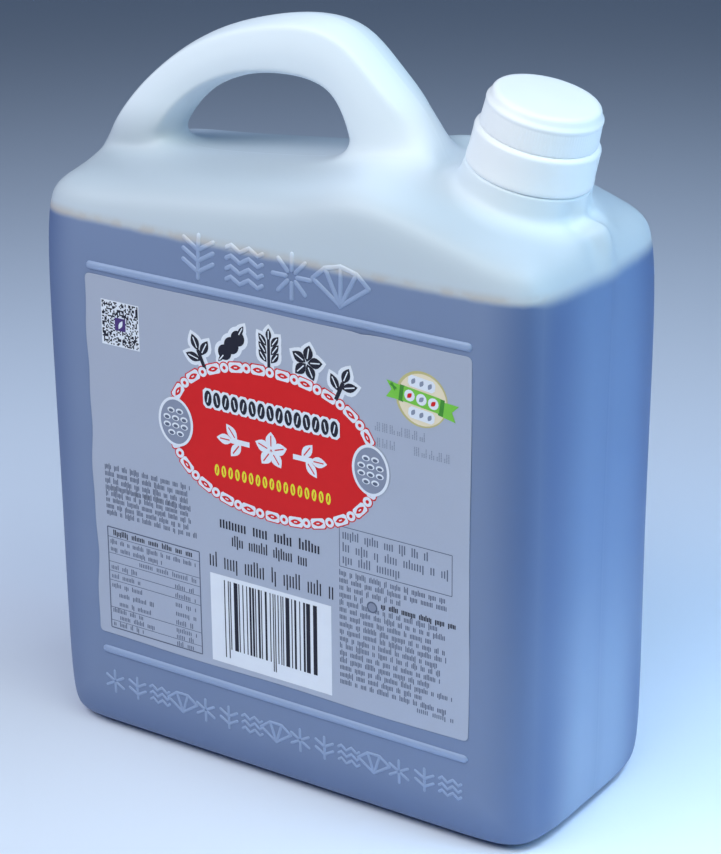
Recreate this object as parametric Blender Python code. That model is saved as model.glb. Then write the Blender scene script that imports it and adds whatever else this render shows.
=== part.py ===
"""A 1.8 litre soy sauce bottle: a blow-moulded jug with an arched handle, a tilted neck and a screw cap.

The bottle stands on z = 0 with its centre at x = y = 0. Its front faces -Y, and its neck is at the +X end.
The bottle and its contents are cages of few points, rounded by one step of subdivision. The cap and the
tamper band are turned about the neck's axis.
"""

import math

import bmesh
import bpy
from mathutils import Vector

MM = 0.001

# Body: a box with rounded edges and one wall thickness. Its ends swell at the shoulder, draw in at the
# waist, and the left one draws in a little at the base too
BODY_WIDTH = 165.0 * MM
BODY_DEPTH = 73.6 * MM
WALL = 1.2 * MM
CORNER_RADIUS = 16.0 * MM
BASE_RADIUS = 9.2 * MM
SHOULDER_RADIUS = 15.0 * MM
WAIST = 80.0 * MM
END_BULGE = 0.5 * MM
END_WAIST = 0.7 * MM
LEFT_BASE_IN = 1.0 * MM
GAP = 0.3 * MM
SMOOTHING = 1

# A rounded edge of the cage is three rows of points: one on each flat side, and one drawn in from the
# corner by this share of the radius, which brings the smoothed surface onto the arc
DRAWN_IN = (5 - 3 * math.sqrt(2)) / 4

# The rows on the flat sides stand out by this share of the radius, so that smoothing leaves the sides flat
STAND_OUT = DRAWN_IN / 4

# Top of the body as seen from the front: it climbs from the left end, then falls away past the neck
TOP_LINE = [
    (-82.5 * MM, 168.2 * MM),
    (-55.0 * MM, 169.8 * MM),
    (2.0 * MM, 175.7 * MM),
    (27.0 * MM, 182.3 * MM),
    (39.5 * MM, 179.4 * MM),
    (68.5 * MM, 170.6 * MM),
    (82.5 * MM, 167.4 * MM),
]
CROWN = 0.5 * MM

# Gusset under the neck: how far the cage's middle point moves out (x, z) at the neck's foot and at the rim
GUSSET_FOOT = (2.5 * MM, 4.0 * MM)
GUSSET_RIM = (3.4 * MM, 3.8 * MM)

# Cage lines: where the columns stand on the front and back walls, and the rows on the end walls
COLUMNS = [x * MM for x in (-68.5, -60, -50, -25, 2, 14, 26, 40, 54, 68.5)]
ROWS = [y * MM for y in (-20.8, -9, 0, 9, 20.8)]
RIGHT_ROWS = [y * MM for y in (-20.8, -6.5, 0, 6.5, 20.8)]

# Handle: the x of the lines that bound its two feet, then its outer and inner edge (x, z) at each
# station along the arch, from the left foot to the right one, in millimetres
FOOT_X = [x * MM for x in (-77, -65, -53, -25, 2, 15, 32.5)]
HANDLE_HALF = 9.2 * MM
HANDLE_ROUND = 0.14
STATIONS = [
    ((-79.2, 172.4), (-55, 175)),
    ((-72.4, 183.5), (-48.5, 180)),
    ((-61.2, 194), (-40, 186)),
    ((-46.4, 204.4), (-30, 191.5)),
    ((-29, 211.4), (-20.5, 195.3)),
    ((-7.5, 216.3), (-9.8, 196)),
    ((6, 213), (-0.5, 194)),
    ((16.6, 202.2), (3.3, 187.6)),
    ((28.5, 192.3), (3.6, 181)),
]

# Neck: an axis that leans out over the +X end, and the outline as (distance along the axis, radius)
NECK_X = 57.3 * MM
NECK_Z = 180.0 * MM
NECK_LEAN = math.radians(14.1)
NECK_SIDES = 12
NECK_ROOT = (-7.2 * MM, 22.5 * MM)
NECK_OUTLINE = [
    (-5.4 * MM, 18.4 * MM),
    (-3.0 * MM, 17.6 * MM),
    (0.0 * MM, 17.2 * MM),
    (1.0 * MM, 17.0 * MM),
    (1.0 * MM, 15.4 * MM),
    (1.2 * MM, 14.1 * MM),
    (3.0 * MM, 14.0 * MM),
    (17.5 * MM, 14.0 * MM),
]

# Contents: their level, and how far their top edge draws in where the shoulder has begun to round
LEVEL = 157.2 * MM
LEVEL_INSET = 1.8 * MM

# Label on the front wall, and the raised lines above and below it on the front and back walls
LABEL_X = (-61.25 * MM, 63.4 * MM)
LABEL_Z = (32.6 * MM, 142.5 * MM)
LABEL_FACE = 37.76 * MM
LABEL_THICKNESS = 0.3 * MM
LABEL_CORNER = 1.5 * MM
RIB_X = (-60.9 * MM, 63.1 * MM)
RIB_HEIGHTS = (27.4 * MM, 144.8 * MM)
RIB_RADIUS = 1.2 * MM
RIB_DEPTH = 0.76 * MM
RIB_CENTRE = 37.0 * MM

# Cap and tamper band: (distance along the neck's axis, radius) in millimetres, outer side from the top
# down, then the inside from the bottom up
CAP_TOP = [(22.4, 0), (22.2, 12.2), (21.8, 13.5), (21.0, 14.3), (20.0, 14.7)]
CAP_RIM = [(19.6, 15.3), (18.8, 15.5), (18.2, 15.2)]
CAP_GRIP = [(17.8, 15.3), (12.8, 15.6), (12.2, 15.6)]
CAP_INSIDE = [(12.2, 14.4), (18.2, 14.4), (18.2, 0)]
BAND_LEDGE = [(11.9, 15.6), (11.6, 16.3), (11.1, 16.7), (10.4, 16.7)]
BAND_FOOT = [(3.6, 16.8), (3.0, 17.15), (1.7, 17.15), (1.4, 16.9)]
BAND_INSIDE = [(1.4, 15.0), (11.9, 15.0)]
CAP_SIDES = 48


def clear_scene():
    for obj in list(bpy.data.objects):
        bpy.data.objects.remove(obj, do_unlink=True)


def material(name, colour, roughness, transmission=0.0):
    made = bpy.data.materials.new(name)
    made.use_nodes = True
    shader = made.node_tree.nodes["Principled BSDF"]
    shader.inputs["Base Color"].default_value = (*colour, 1.0)
    shader.inputs["Roughness"].default_value = roughness
    shader.inputs["Metallic"].default_value = 0.0
    shader.inputs["Transmission Weight"].default_value = transmission
    made.diffuse_color = (*colour, 1.0)
    return made


def add_object(name, bm, finish):
    bmesh.ops.recalc_face_normals(bm, faces=bm.faces)
    mesh = bpy.data.meshes.new(name)
    bm.to_mesh(mesh)
    bm.free()
    mesh.shade_smooth()
    mesh.set_sharp_from_angle(angle=math.radians(40))
    obj = bpy.data.objects.new(name, mesh)
    bpy.context.scene.collection.objects.link(obj)
    mesh.materials.append(finish)
    return obj


def smooth(obj):
    step = obj.modifiers.new("Smooth", "SUBSURF")
    step.levels = SMOOTHING
    step.render_levels = SMOOTHING
    return step


def top_height(x):
    """The height of the body's top at x, read off the top line."""
    within = min(max(x, TOP_LINE[0][0]), TOP_LINE[-1][0])
    for (x0, z0), (x1, z1) in zip(TOP_LINE, TOP_LINE[1:]):
        if within <= x1:
            break
    return z0 + (z1 - z0) * (within - x0) / (x1 - x0)


def plan(inset, left_in=0.0, right_in=0.0):
    """The body's plan as a ring of cage points with rounded corners, with its sides and its ends drawn in."""
    left_x = -(BODY_WIDTH / 2 - inset - left_in)
    right_x = BODY_WIDTH / 2 - inset - right_in
    half_d = BODY_DEPTH / 2 - inset
    pull = DRAWN_IN * max(CORNER_RADIUS - inset, 0.0)
    columns = [left_x + pull] + COLUMNS + [right_x - pull]
    depths = [half_d - pull] + [half_d] * len(COLUMNS) + [half_d - pull]
    front = [(x, -y) for x, y in zip(columns, depths)]
    back = [(x, y) for x, y in zip(columns, depths)]
    right = [(right_x, y) for y in RIGHT_ROWS]
    left = [(left_x, y) for y in ROWS]
    return front + right + back[::-1] + left[::-1]


def rim_keys():
    """The grid position (column, row) of each point of the plan, in the same order."""
    last_i = len(COLUMNS) + 1
    last_j = len(ROWS) + 1
    front = [(i, 0) for i in range(last_i + 1)]
    right = [(last_i, j) for j in range(1, last_j)]
    back = [(i, last_j) for i in range(last_i, -1, -1)]
    left = [(0, j) for j in range(last_j - 1, 0, -1)]
    return front + right + back + left


def ring(bm, points):
    return [bm.verts.new(p) for p in points]


def bridge(bm, lower, upper):
    """Quads between two rings with the same number of points."""
    for k in range(len(lower)):
        n = (k + 1) % len(lower)
        bm.faces.new((lower[k], lower[n], upper[n], upper[k]))


def fill_grid(bm, rim, inner, left_out=()):
    """Quads over the grid inside a rim, without the cells in left_out, named by their low corner."""
    grid = dict(zip(rim_keys(), rim))
    grid.update(inner)
    for i in range(len(COLUMNS) + 1):
        for j in range(len(ROWS) + 1):
            if (i, j) not in left_out:
                corners = ((i, j), (i + 1, j), (i + 1, j + 1), (i, j + 1))
                bm.faces.new([grid[key] for key in corners])


def neck_point(along, radius, angle):
    """A point on the neck: angle 0 is on the low side, towards +X, and 90 degrees is at the back."""
    axis = Vector((math.sin(NECK_LEAN), 0, math.cos(NECK_LEAN)))
    out = Vector((math.cos(NECK_LEAN), 0, -math.sin(NECK_LEAN)))
    centre = Vector((NECK_X, 0, NECK_Z)) + axis * along
    return centre + radius * (math.cos(angle) * out + math.sin(angle) * Vector((0, 1, 0)))


def neck_ring(along, radius):
    """A ring of cage points whose smoothed curve is a circle of this radius."""
    turn = 2 * math.pi / NECK_SIDES
    outer = radius * 3 / (2 + math.cos(turn))
    return [neck_point(along, outer, k * turn) for k in range(NECK_SIDES)]


# The rings of grid points (column, row) round the handle's feet and the neck, the cells open under them,
# and the points that have no place inside those cells
LEFT_FOOT = [(1, 2), (1, 3), (1, 4), (2, 4), (3, 4), (3, 3), (3, 2), (2, 2)]
RIGHT_FOOT = [(7, 2), (7, 3), (7, 4), (6, 4), (5, 4), (5, 3), (5, 2), (6, 2)]
NECK_FOOT = [(10, 3), (10, 4), (10, 5), (9, 5), (8, 5), (8, 4)]
NECK_FOOT += [(8, 3), (8, 2), (8, 1), (9, 1), (10, 1), (10, 2)]
UNDER_HANDLE = {(i, j) for i in (1, 2, 5, 6) for j in (2, 3)}
UNDER_NECK = {(i, j) for i in (8, 9) for j in (1, 2, 3, 4)}
NO_POINT = {(2, 3), (6, 3), (9, 2), (9, 3), (9, 4)}


def handle_ring(outer, inner):
    """Eight cage points round the handle, from its outer edge over the back to its inner edge and on."""
    out_x, out_z = (c * MM for c in outer)
    in_x, in_z = (c * MM for c in inner)

    def at(share, y):
        return Vector((out_x + (in_x - out_x) * share, y, out_z + (in_z - out_z) * share))

    side = HANDLE_HALF * (1 - HANDLE_ROUND)
    return [
        at(HANDLE_ROUND, -side),
        at(0, 0),
        at(HANDLE_ROUND, side),
        at(0.5, HANDLE_HALF),
        at(1 - HANDLE_ROUND, side),
        at(1, 0),
        at(1 - HANDLE_ROUND, -side),
        at(0.5, -HANDLE_HALF),
    ]


def flat_ring(bm, height, outline):
    return ring(bm, [(x, y, height) for x, y in outline])


def ring_below_top(bm, drop, outline):
    return ring(bm, [(x, y, top_height(x) - drop) for x, y in outline])


def level_grid(bm, rim):
    """A flat sheet of quads inside a rim, at the rim's height."""
    inner = {}
    for i, x in enumerate(COLUMNS, 1):
        for j, y in enumerate(ROWS, 1):
            inner[(i, j)] = bm.verts.new((x, y, rim[0].co.z))
    fill_grid(bm, rim, inner)


def bottle_cage():
    """The bottle's outer side, open at the neck's mouth."""
    bm = bmesh.new()
    base_in = DRAWN_IN * BASE_RADIUS
    rim_in = DRAWN_IN * SHOULDER_RADIUS
    levels = [
        flat_ring(bm, 0, plan(BASE_RADIUS, LEFT_BASE_IN)),
        flat_ring(bm, base_in, plan(base_in, LEFT_BASE_IN)),
        flat_ring(bm, BASE_RADIUS, plan(-STAND_OUT * BASE_RADIUS, LEFT_BASE_IN)),
        flat_ring(bm, WAIST, plan(0, END_WAIST, END_WAIST)),
        ring_below_top(bm, SHOULDER_RADIUS, plan(-STAND_OUT * SHOULDER_RADIUS, -END_BULGE, -END_BULGE)),
        ring_below_top(bm, rim_in, plan(rim_in)),
    ]
    for lower, upper in zip(levels, levels[1:]):
        bridge(bm, lower, upper)
    level_grid(bm, levels[0])

    rim = levels[-1]
    middle = rim_keys().index((len(COLUMNS) + 1, 3))
    rim[middle].co += Vector((GUSSET_RIM[0], 0, GUSSET_RIM[1]))

    top = {}
    neck_foot = neck_ring(*NECK_ROOT)
    for key, point in zip(NECK_FOOT, neck_foot):
        top[key] = bm.verts.new(point)
    top[(10, 3)].co += Vector((GUSSET_FOOT[0], 0, GUSSET_FOOT[1]))
    for i in range(1, 8):
        for j, y in enumerate(ROWS, 1):
            if (i, j) in NO_POINT:
                continue
            edge = j in (1, len(ROWS))
            x = COLUMNS[i - 1] if edge else FOOT_X[i - 1]
            top[(i, j)] = bm.verts.new((x, y, top_height(x) - (CROWN if edge else 0)))
    fill_grid(bm, rim, top, UNDER_HANDLE | UNDER_NECK)

    rings = [[top[key] for key in LEFT_FOOT]]
    rings += [ring(bm, handle_ring(outer, inner)) for outer, inner in STATIONS]
    rings += [[top[key] for key in RIGHT_FOOT]]
    for lower, upper in zip(rings, rings[1:]):
        bridge(bm, lower, upper)

    rings = [[top[key] for key in NECK_FOOT]]
    rings += [ring(bm, neck_ring(along, radius)) for along, radius in NECK_OUTLINE]
    for lower, upper in zip(rings, rings[1:]):
        bridge(bm, lower, upper)
    return bm


def sauce_cage():
    """The contents: the inside of the body up to the level, one gap clear of the wall all round."""
    bm = bmesh.new()
    clear = WALL + GAP
    radius = BASE_RADIUS - clear
    edge_in = clear + DRAWN_IN * radius
    levels = [
        flat_ring(bm, clear, plan(BASE_RADIUS, LEFT_BASE_IN)),
        flat_ring(bm, edge_in, plan(edge_in, LEFT_BASE_IN)),
        flat_ring(bm, BASE_RADIUS, plan(clear - STAND_OUT * radius, LEFT_BASE_IN)),
        flat_ring(bm, WAIST, plan(clear, END_WAIST, END_WAIST)),
        flat_ring(bm, LEVEL, plan(clear + LEVEL_INSET)),
    ]
    for lower, upper in zip(levels, levels[1:]):
        bridge(bm, lower, upper)
    surface = levels[-1]
    level_grid(bm, levels[0])
    level_grid(bm, surface)
    crease = bm.edges.layers.float.new("crease_edge")
    for k, vert in enumerate(surface):
        edge = bm.edges.get((vert, surface[(k + 1) % len(surface)]))
        edge[crease] = 1.0
    return bm


def turned(name, outline, finish):
    """A closed solid turned about the neck's axis. The outline runs round the section, in millimetres."""
    bm = bmesh.new()
    loops = []
    for along, radius in outline:
        sides = CAP_SIDES if radius else 1
        turns = [2 * math.pi * k / sides for k in range(sides)]
        loops.append(ring(bm, [neck_point(along * MM, radius * MM, turn) for turn in turns]))
    pairs = list(zip(loops, loops[1:]))
    if outline[0][1]:
        pairs.append((loops[-1], loops[0]))
    for lower, upper in pairs:
        if len(lower) == len(upper):
            bridge(bm, lower, upper)
        else:
            tip, edge = sorted((lower, upper), key=len)
            for k in range(CAP_SIDES):
                bm.faces.new((tip[0], edge[k], edge[(k + 1) % CAP_SIDES]))
    return add_object(name, bm, finish)


def raised_lines(finish):
    """The raised lines over and under both label panels: bars with round ends, half sunk in the wall."""
    bm = bmesh.new()
    centre = (RIB_X[0] + RIB_X[1]) / 2
    reach = (RIB_X[1] - RIB_X[0]) / 2 - RIB_RADIUS
    for side in (-1, 1):
        for height in RIB_HEIGHTS:
            made = bmesh.ops.create_uvsphere(bm, u_segments=8, v_segments=5, radius=RIB_RADIUS)
            for vert in made["verts"]:
                along, across, up = vert.co.z, vert.co.x, vert.co.y
                x = centre + along + math.copysign(reach, along)
                y = side * RIB_CENTRE + across * RIB_DEPTH / RIB_RADIUS
                vert.co = Vector((x, y, height + up))
    lines = add_object("raised_lines", bm, finish)
    lines.hide_render = True
    lines.display_type = "WIRE"
    return lines


def add_label(finish):
    """A flat sheet with slightly rounded corners, one gap clear of the front wall."""
    bm = bmesh.new()
    corners = [(1, 1, 0), (0, 1, 90), (0, 0, 180), (1, 0, 270)]
    outline = []
    for right, top, start in corners:
        x = LABEL_X[right] + (-LABEL_CORNER if right else LABEL_CORNER)
        z = LABEL_Z[top] + (-LABEL_CORNER if top else LABEL_CORNER)
        for degrees in (0, 30, 60, 90):
            turn = math.radians(start + degrees)
            outline.append((x + LABEL_CORNER * math.cos(turn), z + LABEL_CORNER * math.sin(turn)))
    front = ring(bm, [(x, -LABEL_FACE, z) for x, z in outline])
    back = ring(bm, [(x, -LABEL_FACE + LABEL_THICKNESS, z) for x, z in outline])
    bridge(bm, front, back)
    bm.faces.new(front)
    bm.faces.new(back)
    return add_object("label", bm, finish)


def main():
    clear_scene()
    milky = material("milky polythene", (0.72, 0.80, 0.88), 0.35, 0.3)
    sauce = material("soy sauce", (0.03, 0.012, 0.008), 0.1)
    white = material("white polythene", (0.85, 0.90, 0.95), 0.3)
    paper = material("silver label", (0.45, 0.48, 0.56), 0.45)

    bottle = add_object("bottle", bottle_cage(), milky)
    smooth(bottle)
    shell = bottle.modifiers.new("Wall", "SOLIDIFY")
    shell.thickness = WALL
    shell.offset = -1
    shell.use_even_offset = True
    shell.use_rim = True
    join = bottle.modifiers.new("Raised lines", "BOOLEAN")
    join.operation = "UNION"
    join.solver = "EXACT"
    join.object = raised_lines(milky)

    smooth(add_object("soy_sauce", sauce_cage(), sauce))
    turned("cap", CAP_TOP + CAP_RIM + CAP_GRIP + CAP_INSIDE, white)
    turned("tamper_band", BAND_LEDGE + BAND_FOOT + BAND_INSIDE, white)
    add_label(paper)


main()
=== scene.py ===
import math
import random

import bmesh
import bpy
from mathutils import Matrix, Vector
from mathutils.bvhtree import BVHTree


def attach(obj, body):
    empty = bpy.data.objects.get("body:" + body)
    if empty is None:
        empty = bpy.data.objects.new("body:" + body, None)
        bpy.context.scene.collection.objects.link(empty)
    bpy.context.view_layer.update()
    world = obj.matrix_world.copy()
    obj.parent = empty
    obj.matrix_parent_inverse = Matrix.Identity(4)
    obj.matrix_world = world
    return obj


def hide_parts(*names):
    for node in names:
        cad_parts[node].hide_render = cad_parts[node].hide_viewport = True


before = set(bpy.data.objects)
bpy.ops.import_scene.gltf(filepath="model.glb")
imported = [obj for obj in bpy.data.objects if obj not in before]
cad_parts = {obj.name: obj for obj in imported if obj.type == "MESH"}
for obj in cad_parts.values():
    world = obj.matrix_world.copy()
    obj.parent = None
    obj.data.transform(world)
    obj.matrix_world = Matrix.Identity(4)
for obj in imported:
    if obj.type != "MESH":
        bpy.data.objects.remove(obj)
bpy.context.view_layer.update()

# The bottle: one piece of milky polythene, blown with its handle and its leaning neck into a mould that
# parts along y = 0. Its shape is a cage of few points, rounded by subdivision. The mould leaves a thin line
# where its halves meet, and presses in the flanks of the ridge under the neck.
MM = 0.001
BODY_WIDTH = 165.0 * MM
BODY_DEPTH = 73.6 * MM
CORNER_RADIUS = 16.0 * MM
BASE_RADIUS = 9.2 * MM
SHOULDER_RADIUS = 15.0 * MM
WAIST = 80.0 * MM
END_BULGE = 0.1 * MM
END_WAIST = 0.7 * MM
LEFT_BASE_IN = 1.0 * MM
BASE_RECESS = 1.0 * MM
CROWN = 0.5 * MM
BOTTLE_SMOOTHING = 3
TOP_X = [x * MM for x in (-82.5, -55.0, 2.0, 27.0, 39.5, 68.5, 82.5)]
TOP_Z = [z * MM for z in (168.2, 169.8, 175.7, 182.3, 179.4, 170.6, 167.4)]
TOP_LINE = list(zip(TOP_X, TOP_Z))
COLUMNS = [x * MM for x in (-68.5, -60, -50, -25, 2, 14, 26, 40, 54, 68.5)]
ROWS = [y * MM for y in (-20.8, -9, 0, 9, 20.8)]
RIGHT_ROWS = [y * MM for y in (-20.8, -6.5, 0, 6.5, 20.8)]
LAST_COLUMN = len(COLUMNS) + 1
LAST_ROW = len(ROWS) + 1

# A rounded edge of the cage is three rows of points: one on each flat side, and one drawn in from the
# corner by a share of the radius. The rows on the flat sides stand out a little, so that they smooth flat
DRAWN_IN = (5 - 3 * math.sqrt(2)) / 4
STAND_OUT = DRAWN_IN / 4

# The handle's feet, and its outer and inner edge (x, z) at each station from the left foot to the right
FOOT_X = [x * MM for x in (-78.6, -66, -53, -25, 2, 15, 32.5)]
HANDLE_HALF = 9.2 * MM
HANDLE_ROUND = 0.14
HANDLE_CREASE = 0.45
FOOT_CREASE = 0.6
STATIONS = [
    ((-79.6, 171.2), (-55.5, 175)),
    ((-70.6, 183.6), (-50.8, 182)),
    ((-60.4, 194), (-42.2, 189.2)),
    ((-46.4, 204.4), (-31.6, 193.9)),
    ((-29, 211.4), (-21, 196)),
    ((-7.5, 216.0), (-9.8, 196)),
    ((6, 213), (-0.5, 194)),
    ((16.6, 202.2), (3.3, 187.6)),
    ((28.5, 192.3), (3.6, 181)),
]
LEFT_FOOT = [(1, 2), (1, 3), (1, 4), (2, 4), (3, 4), (3, 3), (3, 2), (2, 2)]
RIGHT_FOOT = [(7, 2), (7, 3), (7, 4), (6, 4), (5, 4), (5, 3), (5, 2), (6, 2)]
UNDER_HANDLE = {(i, j) for i in (1, 2, 5, 6) for j in (2, 3)}

# The neck's axis leans out over the right end. Its outline is (distance along the axis, radius)
NECK_X = 57.3 * MM
NECK_Z = 180.0 * MM
NECK_LEAN = math.radians(14.1)
NECK_SIDES = 12
NECK_ROOT = (-7.2 * MM, 22.5 * MM)
NECK_OUTLINE = [
    (-5.4 * MM, 18.4 * MM),
    (-3.0 * MM, 17.6 * MM),
    (0.0 * MM, 17.1 * MM),
    (1.28 * MM, 16.95 * MM),
    (1.28 * MM, 15.4 * MM),
    (1.5 * MM, 14.1 * MM),
    (3.0 * MM, 14.0 * MM),
    (17.5 * MM, 14.0 * MM),
]
NECK_FOOT = [(10, 3), (10, 4), (10, 5), (9, 5), (8, 5), (8, 4)]
NECK_FOOT += [(8, 3), (8, 2), (8, 1), (9, 1), (10, 1), (10, 2)]
UNDER_NECK = {(i, j) for i in (8, 9) for j in (1, 2, 3, 4)}
NO_POINT = {(2, 3), (6, 3), (9, 2), (9, 3), (9, 4)}

# The ridge under the neck: how far its middle moves out (x, z), and how deep its flanks are pressed in
RIDGE_FOOT = (2.5 * MM, 4.0 * MM)
RIDGE_RIM = (3.4 * MM, 3.8 * MM)
RIDGE_FROM_X = 66.0 * MM
RIDGE_Z = (156 * MM, 166 * MM, 172 * MM, 178 * MM)
RIDGE_RISE = 0.5 * MM
RIDGE_HALF = 2.0 * MM
FLANK_Y = 5.4 * MM
FLANK_HALF = 2.6 * MM
FLANK_DEPTH = 1.1 * MM

SEAM_HALF = 0.35 * MM
SEAM_HEIGHT = 0.06 * MM
SEAM_FROM_Z = 6.0 * MM


def top_height(x):
    """The height of the body's top at x, read off the top line."""
    within = min(max(x, TOP_LINE[0][0]), TOP_LINE[-1][0])
    for (x0, z0), (x1, z1) in zip(TOP_LINE, TOP_LINE[1:]):
        if within <= x1:
            break
    return z0 + (z1 - z0) * (within - x0) / (x1 - x0)


def plan(inset, left_in=0.0, right_in=0.0):
    """The body's plan as a ring of cage points with rounded corners, its sides and ends drawn in."""
    left_x = -(BODY_WIDTH / 2 - inset - left_in)
    right_x = BODY_WIDTH / 2 - inset - right_in
    half_d = BODY_DEPTH / 2 - inset
    pull = DRAWN_IN * max(CORNER_RADIUS - inset, 0.0)
    columns = [left_x + pull] + COLUMNS + [right_x - pull]
    depths = [half_d - pull] + [half_d] * len(COLUMNS) + [half_d - pull]
    front = [(x, -y) for x, y in zip(columns, depths)]
    back = [(x, y) for x, y in zip(columns, depths)]
    right = [(right_x, y) for y in RIGHT_ROWS]
    left = [(left_x, y) for y in ROWS]
    return front + right + back[::-1] + left[::-1]


def rim_keys():
    """The grid position (column, row) of each point of the plan, in the same order."""
    front = [(i, 0) for i in range(LAST_COLUMN + 1)]
    right = [(LAST_COLUMN, j) for j in range(1, LAST_ROW)]
    back = [(i, LAST_ROW) for i in range(LAST_COLUMN, -1, -1)]
    left = [(0, j) for j in range(LAST_ROW - 1, 0, -1)]
    return front + right + back + left


def ring(bm, points):
    return [bm.verts.new(p) for p in points]


def bridge(bm, rings):
    """Quads between each ring and the next, which all have the same number of points."""
    for lower, upper in zip(rings, rings[1:]):
        for k in range(len(lower)):
            n = (k + 1) % len(lower)
            bm.faces.new((lower[k], lower[n], upper[n], upper[k]))


def fill_grid(bm, rim, inner, left_out=()):
    """Quads over the grid inside a rim, without the cells in left_out, named by their low corner."""
    grid = dict(zip(rim_keys(), rim))
    grid.update(inner)
    for i in range(LAST_COLUMN):
        for j in range(LAST_ROW):
            if (i, j) not in left_out:
                corners = ((i, j), (i + 1, j), (i + 1, j + 1), (i, j + 1))
                bm.faces.new([grid[key] for key in corners])


def neck_point(along, radius, angle):
    """A point on the neck: angle 0 is on the low side, towards +X, and 90 degrees is at the back."""
    axis = Vector((math.sin(NECK_LEAN), 0, math.cos(NECK_LEAN)))
    out = Vector((math.cos(NECK_LEAN), 0, -math.sin(NECK_LEAN)))
    centre = Vector((NECK_X, 0, NECK_Z)) + axis * along
    return centre + radius * (math.cos(angle) * out + math.sin(angle) * Vector((0, 1, 0)))


def neck_ring(along, radius):
    """A ring of cage points whose smoothed curve is a circle of this radius."""
    turn = 2 * math.pi / NECK_SIDES
    outer = radius * 3 / (2 + math.cos(turn))
    return [neck_point(along, outer, k * turn) for k in range(NECK_SIDES)]


def handle_ring(outer, inner):
    """Eight cage points round the handle, from its outer edge over the back to its inner edge and on."""
    out_x, out_z = (c * MM for c in outer)
    in_x, in_z = (c * MM for c in inner)
    side = HANDLE_HALF * (1 - HANDLE_ROUND)
    near = HANDLE_ROUND
    far = 1 - HANDLE_ROUND
    places = [(near, -side), (0, 0), (near, side), (0.5, HANDLE_HALF)]
    places += [(far, side), (1, 0), (far, -side), (0.5, -HANDLE_HALF)]
    return [Vector((out_x + (in_x - out_x) * s, y, out_z + (in_z - out_z) * s)) for s, y in places]


def bottle_cage():
    """The bottle's outer side, open at the neck's mouth."""
    bm = bmesh.new()
    base_in = DRAWN_IN * BASE_RADIUS
    rim_in = DRAWN_IN * SHOULDER_RADIUS
    low = plan(-STAND_OUT * BASE_RADIUS, LEFT_BASE_IN)
    high = plan(-STAND_OUT * SHOULDER_RADIUS, -END_BULGE, -END_BULGE)
    walls = [
        ring(bm, [(x, y, 0) for x, y in plan(BASE_RADIUS, LEFT_BASE_IN)]),
        ring(bm, [(x, y, base_in) for x, y in plan(base_in, LEFT_BASE_IN)]),
        ring(bm, [(x, y, BASE_RADIUS) for x, y in low]),
        ring(bm, [(x, y, WAIST) for x, y in plan(0, END_WAIST, END_WAIST)]),
        ring(bm, [(x, y, top_height(x) - SHOULDER_RADIUS) for x, y in high]),
        ring(bm, [(x, y, top_height(x) - rim_in) for x, y in plan(rim_in)]),
    ]
    bridge(bm, walls)

    base = {}
    for i, x in enumerate(COLUMNS, 1):
        for j, y in enumerate(ROWS, 1):
            inside = 2 <= i <= len(COLUMNS) - 1 and 2 <= j <= len(ROWS) - 1
            base[(i, j)] = bm.verts.new((x, y, BASE_RECESS if inside else 0))
    fill_grid(bm, walls[0], base)

    rim = walls[-1]
    rim[rim_keys().index((LAST_COLUMN, 3))].co += Vector((RIDGE_RIM[0], 0, RIDGE_RIM[1]))
    top = {key: bm.verts.new(point) for key, point in zip(NECK_FOOT, neck_ring(*NECK_ROOT))}
    top[(10, 3)].co += Vector((RIDGE_FOOT[0], 0, RIDGE_FOOT[1]))
    for i in range(1, 8):
        for j, y in enumerate(ROWS, 1):
            if (i, j) not in NO_POINT:
                edge = j in (1, len(ROWS))
                x = COLUMNS[i - 1] if edge else FOOT_X[i - 1]
                top[(i, j)] = bm.verts.new((x, y, top_height(x) - (CROWN if edge else 0)))
    fill_grid(bm, rim, top, UNDER_HANDLE | UNDER_NECK)

    arch = [ring(bm, handle_ring(outer, inner)) for outer, inner in STATIONS]
    bridge(bm, [[top[key] for key in LEFT_FOOT]] + arch + [[top[key] for key in RIGHT_FOOT]])
    crease = bm.edges.layers.float.new("crease_edge")
    for lower, upper in zip(arch, arch[1:]):
        for corner in (0, 2, 4, 6):
            bm.edges.get((lower[corner], upper[corner]))[crease] = HANDLE_CREASE
    for first, second in zip(LEFT_FOOT[:2], LEFT_FOOT[1:3]):
        bm.edges.get((top[first], top[second]))[crease] = FOOT_CREASE
    neck = [ring(bm, neck_ring(along, radius)) for along, radius in NECK_OUTLINE]
    bridge(bm, [[top[key] for key in NECK_FOOT]] + neck)
    bmesh.ops.recalc_face_normals(bm, faces=bm.faces)
    return bm


def put_in(name, data):
    """A new object in the scene."""
    thing = bpy.data.objects.new(name, data)
    bpy.context.scene.collection.objects.link(thing)
    return thing


def put_mesh(name, bm):
    """A new object in the scene with the shape of bm, which is used up."""
    mesh = bpy.data.meshes.new(name)
    bm.to_mesh(mesh)
    bm.free()
    mesh.shade_smooth()
    return put_in(name, mesh)


def smoothed(cage, steps):
    """The surface that a cage rounds to after some steps of subdivision."""
    holder = put_mesh("cage", cage)
    holder.modifiers.new("Smooth", "SUBSURF").levels = steps
    surface = bmesh.new()
    surface.from_object(holder, bpy.context.evaluated_depsgraph_get())
    bpy.data.meshes.remove(holder.data)
    surface.normal_update()
    return surface


def step_up(value, low, high):
    """0 below low and 1 above high, with a smooth rise between them."""
    share = min(max((value - low) / (high - low), 0.0), 1.0)
    return share * share * (3 - 2 * share)


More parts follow.
